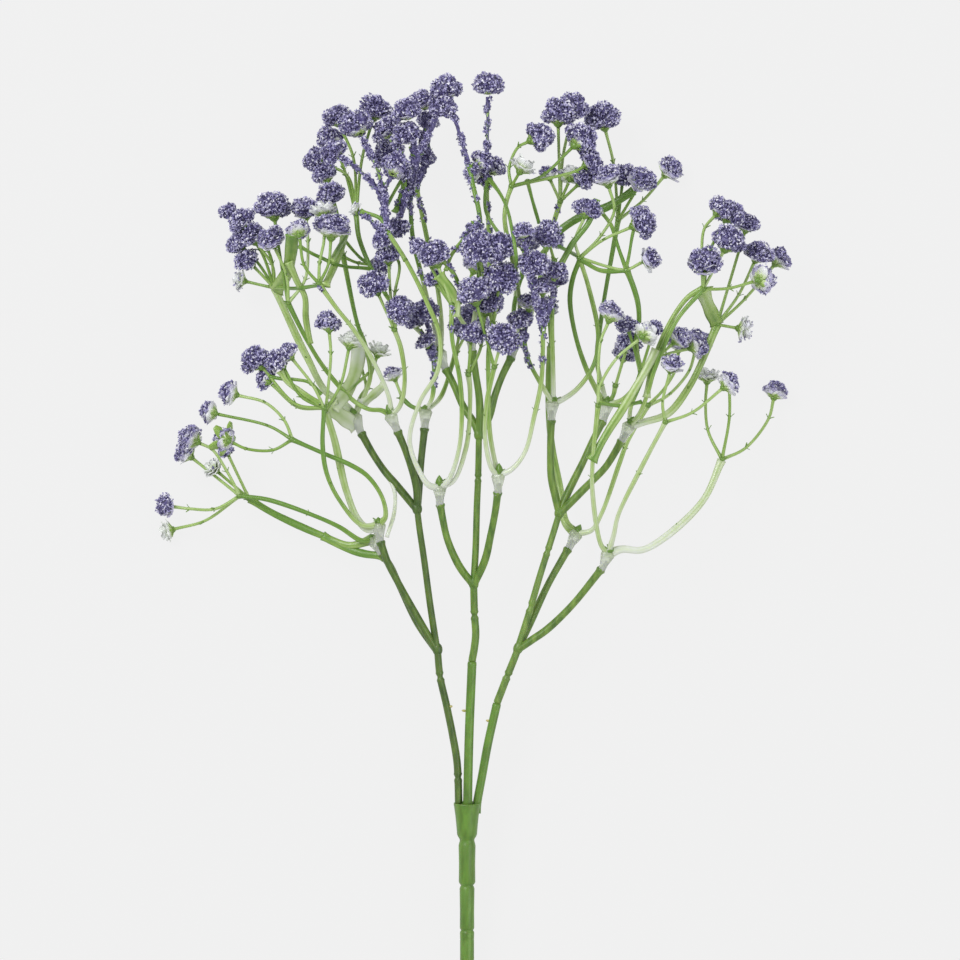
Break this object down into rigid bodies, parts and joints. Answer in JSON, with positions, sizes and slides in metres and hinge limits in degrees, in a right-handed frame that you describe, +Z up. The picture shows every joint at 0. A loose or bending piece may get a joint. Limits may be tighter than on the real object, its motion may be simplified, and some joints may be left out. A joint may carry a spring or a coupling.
{
  "type": "artificial gypsophila spray",
  "caption": "Artificial gypsophila spray that lies on a surface: a ringed stem with a cup, forked stalks, thin bowed filaments and purple flower heads covered in grains.",
  "frame": {"origin": "centre of the bounding box, on the surface on which the spray lies", "axes": "+Y from the cut end of the stem towards the flowers, +Z up from the surface, +X to the right"},
  "size_m": [0.2116, 0.3474, 0.0597],
  "materials": {
    "stem": "moulded polyethylene, mid green, soft sheen",
    "wire": "drawn steel wire, seen at the cut end only",
    "stalk": "moulded polyethylene, deep green, soft sheen",
    "filament": "translucent moulded polyethylene, yellow-green that fades to whitish at the ferrules",
    "blossom": "whitish petals covered in purple grains that glitter slightly"
  },
  "bodies": {
    "root": {"main_stem": "stem", "stem_wire": "wire", "stalk_left": "stalk", "stalk_middle": "stalk", "stalk_right": "stalk", "spray_left_1": "filament", "spray_left_2": "filament", "spray_left_3": "filament", "spray_left_4": "filament", "spray_left_5": "filament", "spray_middle_1": "filament", "spray_middle_2": "filament", "spray_middle_3": "filament", "spray_middle_4": "filament", "spray_middle_5": "filament", "spray_right_1": "filament", "spray_right_2": "filament", "spray_right_3": "filament", "spray_right_4": "filament", "spray_right_5": "filament", "blossoms_01": "blossom", "blossoms_02": "blossom", "blossoms_03": "blossom", "blossoms_04": "blossom", "blossoms_05": "blossom", "blossoms_06": "blossom", "blossoms_07": "blossom", "blossoms_08": "blossom", "blossoms_09": "blossom", "blossoms_10": "blossom", "blossoms_11": "blossom", "blossoms_12": "blossom", "blossoms_13": "blossom", "blossoms_14": "blossom", "blossoms_15": "blossom", "blossoms_16": "blossom", "blossoms_17": "blossom", "blossoms_18": "blossom", "blossoms_19": "blossom", "blossoms_20": "blossom", "blossoms_21": "blossom", "blossoms_22": "blossom", "blossoms_23": "blossom", "blossoms_24": "blossom", "blossoms_25": "blossom", "blossoms_26": "blossom", "blossoms_27": "blossom", "blossoms_28": "blossom", "blossoms_29": "blossom", "blossoms_30": "blossom", "blossoms_31": "blossom", "blossoms_32": "blossom", "blossoms_33": "blossom", "blossoms_34": "blossom", "blossoms_35": "blossom", "blossoms_36": "blossom", "blossoms_37": "blossom"}
  },
  "joints": []
}
